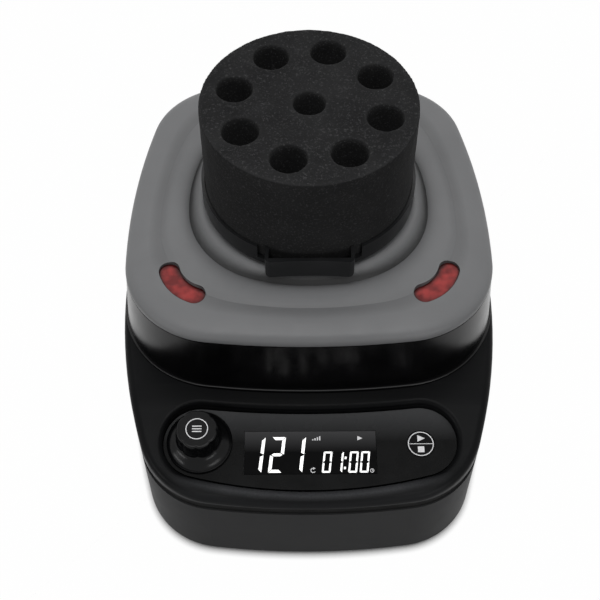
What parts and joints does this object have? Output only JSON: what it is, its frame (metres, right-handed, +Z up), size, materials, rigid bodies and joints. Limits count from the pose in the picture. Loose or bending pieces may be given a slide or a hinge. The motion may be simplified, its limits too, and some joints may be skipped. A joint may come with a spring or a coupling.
{
  "type": "vortex mixer",
  "caption": "Benchtop vortex mixer: orbiting foam tube holder on a rippled round-cornered cover, sloped control panel with readout, speed knob and start key, on a heavy base.",
  "frame": {"origin": "on the bench, under the middle of the footprint", "axes": "+X to the right of someone at the panel, +Y to the rear, +Z up"},
  "size_m": [0.186, 0.23, 0.1725],
  "materials": {
    "base_paint": "satin dark grey paint",
    "seal_rubber": "matte black",
    "deck_plastic": "fine satin black",
    "band_plastic": "gloss black",
    "cover_plastic": "satin mid grey",
    "lens_red": "clear red",
    "panel_plastic": "satin black film",
    "window_plastic": "dark gloss",
    "module_plastic": "matte",
    "board": "satin green",
    "knob_plastic": "satin black",
    "foam": "closed-cell foam, fine matte grain",
    "dish_plastic": "satin black",
    "foot_rubber": "matte black",
    "steel": "ground",
    "spring_steel": "oiled",
    "core_iron": "laminated",
    "aluminium": "machined",
    "weight_brass": "machined",
    "switch_plastic": "satin black"
  },
  "bodies": {
    "housing": {"base_casting": "base_paint", "base_seal": "seal_rubber", "lower_housing": "deck_plastic", "drum_band": "band_plastic", "top_cover": "cover_plastic", "left_indicator_lens": "lens_red", "right_indicator_lens": "lens_red", "indicator_boards": "board", "control_panel": "panel_plastic", "display_window": "window_plastic", "display_module": "module_plastic", "control_board": "board", "encoder_body": "module_plastic", "start_stop_switch": "switch_plastic", "rubber_feet": "foot_rubber", "case_screws": "steel", "guide_pins": "steel", "press_springs": "spring_steel", "touch_switch_body": "switch_plastic", "dc_jack": "switch_plastic", "power_switch_body": "switch_plastic", "power_board": "board"},
    "press_carriage": {"motor_plate": "aluminium", "motor_can": "steel", "motor_bearings": "steel", "motor_screws": "steel", "rubber_posts": "seal_rubber"},
    "touch_plunger": {"touch_switch_plunger": "switch_plastic"},
    "drive_rotor": {"motor_rotor": "core_iron", "motor_shaft": "steel", "eccentric_hub": "aluminium", "counterweight": "weight_brass", "eccentric_pin": "steel"},
    "mixing_head": {"platform": "aluminium", "lower_head_bearing": "steel", "upper_head_bearing": "steel", "adapter_dish": "dish_plastic", "dish_screw": "steel", "foam_block": "foam"},
    "knob_push": {"encoder_plunger": "steel"},
    "speed_knob": {"control_knob": "knob_plastic", "encoder_shaft": "steel"},
    "start_key": {"start_stop_key": "panel_plastic"},
    "rocker": {"power_rocker": "switch_plastic"}
  },
  "joints": [
    {"name": "head_press", "type": "slide", "parent": "housing", "child": "press_carriage", "axis": [0, 0, -1], "range_m": [0, 0.0015], "stiffness_N_per_m": 8000, "springref_m": -0.004, "deforming": ["press_springs"]},
    {"name": "touch_plunger_slide", "type": "slide", "parent": "housing", "child": "touch_plunger", "axis": [0, 0, -1], "range_m": [0, 0.0015]},
    {"name": "drive_spin", "type": "hinge", "parent": "press_carriage", "child": "drive_rotor", "pos_m": [0, 0.027, 0.0649], "axis": [0, 0, 1], "continuous": true, "deforming": ["rubber_posts"]},
    {"name": "head_orbit", "type": "hinge", "parent": "drive_rotor", "child": "mixing_head", "pos_m": [0, 0.02475, 0.0949], "axis": [0, 0, 1], "continuous": true},
    {"name": "knob_press", "type": "slide", "parent": "housing", "child": "knob_push", "axis": [0, 0.1219, -0.9925], "range_m": [0, 0.0005], "stiffness_N_per_m": 800, "springref_m": -0.002},
    {"name": "speed_knob_turn", "type": "hinge", "parent": "knob_push", "child": "speed_knob", "pos_m": [-0.052, -0.0838, 0.05865], "axis": [0, -0.1219, 0.9925], "continuous": true},
    {"name": "start_key_press", "type": "slide", "parent": "housing", "child": "start_key", "axis": [0, 0.1219, -0.9925], "range_m": [0, 0.0004], "stiffness_N_per_m": 800, "springref_m": -0.0015},
    {"name": "power_rocker_tilt", "type": "hinge", "parent": "housing", "child": "rocker", "pos_m": [0.022, 0.109, 0.0265], "axis": [-1, 0, 0], "range_deg": [0, 20]}
  ],
  "couplings": [
    {"joint": "touch_plunger_slide", "follows": "head_press", "ratio": 1},
    {"joint": "head_orbit", "follows": "drive_spin", "ratio": -1}
  ]
}
